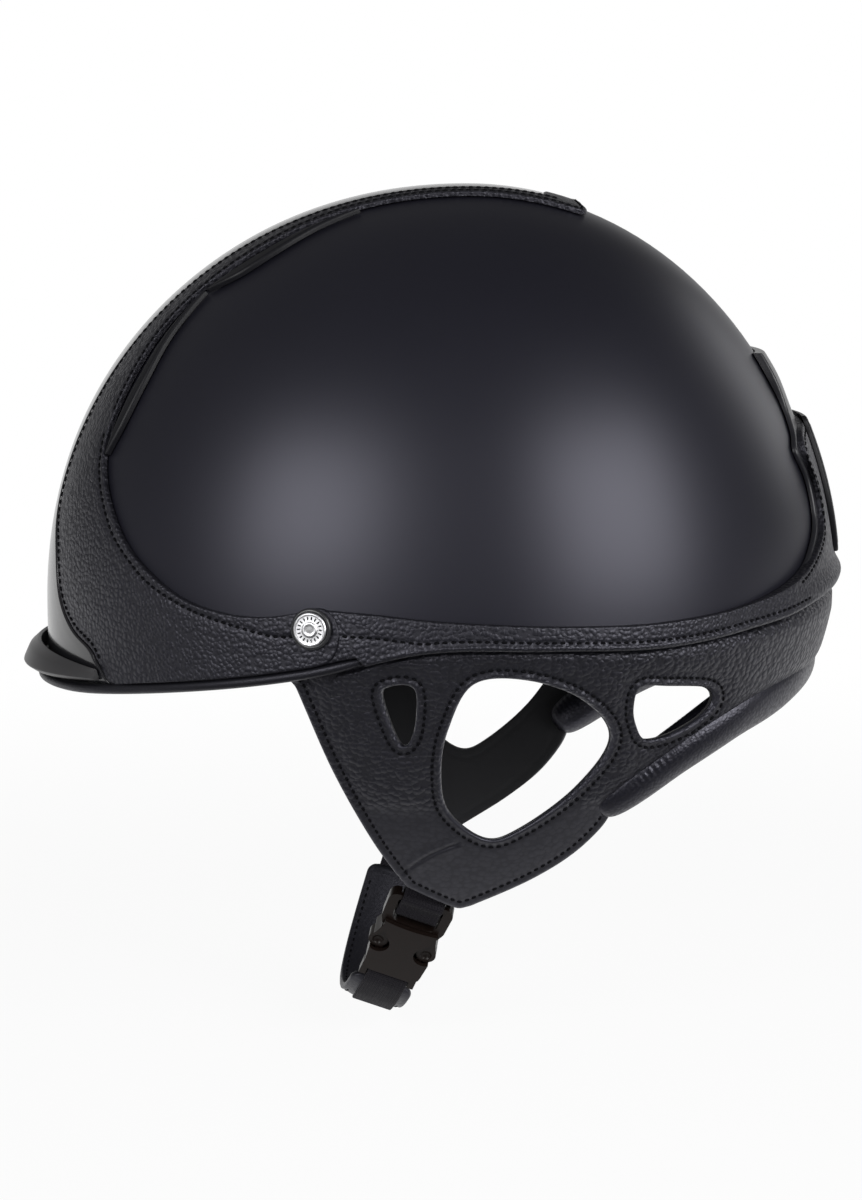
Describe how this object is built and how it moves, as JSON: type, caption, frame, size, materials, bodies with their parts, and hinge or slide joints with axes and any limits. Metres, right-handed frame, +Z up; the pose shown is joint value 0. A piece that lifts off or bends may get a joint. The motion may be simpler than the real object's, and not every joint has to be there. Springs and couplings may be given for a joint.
{
  "type": "jockey helmet",
  "caption": "Round riding helmet with leather trim, a gloss crown strip, a padded liner, a leather harness with ear openings, a nape roll and a buckled chin strap.",
  "frame": {"origin": "centre of the shell on the mid-plane, at the height where its walls turn upright", "axes": "+Z up through the crown, -Y the way the wearer looks, +X the wearer's left"},
  "size_m": [0.2284, 0.2924, 0.3005],
  "materials": {
    "shell_black": "smooth, fine matt",
    "strip_gloss": "polished",
    "insert_gloss": "polished",
    "plate_black": "satin, plain",
    "trim_leather": "pebbled grain, stitched edges",
    "piping_black": "rolled, smooth",
    "bumper_grey": "satin",
    "vent_trim": "satin",
    "rivet_silver": "pressed, brushed rim",
    "ring_black": "gloss",
    "fastener_steel": "plain",
    "liner_foam": "moulded bead foam",
    "pad_fabric": "soft knit over foam",
    "hook_loop": "hook and loop",
    "harness_leather": "pebbled grain, smooth at the cheek",
    "harness_lining": "brushed lining",
    "nape_leather": "padded, soft grain",
    "webbing_black": "woven",
    "buckle_black": "moulded, satin",
    "prong_black": "moulded, dimpled button",
    "sleeve_leather": "soft, folded round the webbing"
  },
  "bodies": {
    "helmet": {"outer_shell": "shell_black", "impact_liner": "liner_foam", "crown_liner": "liner_foam", "crown_pad": "pad_fabric", "brow_pad": "pad_fabric", "side_pad_left": "pad_fabric", "side_pad_right": "pad_fabric", "rear_pad": "pad_fabric", "pad_discs": "hook_loop", "centre_strip": "strip_gloss", "front_leather_left": "trim_leather", "front_leather_right": "trim_leather", "rear_leather_band": "trim_leather", "rear_insert": "insert_gloss", "rear_plate": "plate_black", "rim_piping": "piping_black", "front_bumper": "bumper_grey", "vent_trims_left": "vent_trim", "vent_trims_right": "vent_trim", "rivet_caps": "rivet_silver", "rivet_rings": "ring_black", "rivet_posts": "fastener_steel", "rivet_washers": "fastener_steel", "harness_screws": "fastener_steel", "harness_left": "harness_leather", "harness_right": "harness_leather", "harness_lining_left": "harness_lining", "harness_lining_right": "harness_lining", "nape_roll": "nape_leather"},
    "chin_strap": {"buckle_male": "buckle_black", "buckle_webbing": "webbing_black", "chin_webbing": "webbing_black", "chin_sleeve": "sleeve_leather"},
    "buckle_socket": {"buckle_female": "buckle_black"},
    "front_prong": {"prong_front": "prong_black"},
    "rear_prong": {"prong_rear": "prong_black"}
  },
  "joints": [
    {"name": "chin_strap_swing", "type": "hinge", "parent": "helmet", "child": "chin_strap", "pos_m": [0, -0.0158, -0.092], "axis": [1, 0, 0], "range_deg": [-30, 10], "deforming": ["buckle_webbing", "chin_webbing"]},
    {"name": "buckle_release", "type": "slide", "parent": "chin_strap", "child": "buckle_socket", "axis": [-0.5, -0.2962, -0.8138], "range_m": [0, 0.022], "deforming": ["chin_webbing", "chin_sleeve", "prong_front", "prong_rear"]},
    {"name": "front_button_press", "type": "hinge", "parent": "chin_strap", "child": "front_prong", "pos_m": [0.0438, -0.02815, -0.10665], "axis": [0.866, -0.171, -0.4698], "range_deg": [0, 13], "stiffness_Nm_per_rad": 0.02},
    {"name": "rear_button_press", "type": "hinge", "parent": "chin_strap", "child": "rear_prong", "pos_m": [0.0438, -0.01575, -0.11116], "axis": [-0.866, 0.171, 0.4698], "range_deg": [0, 13], "stiffness_Nm_per_rad": 0.02}
  ],
  "couplings": [
    {"joint": "rear_button_press", "follows": "front_button_press", "ratio": 1}
  ]
}
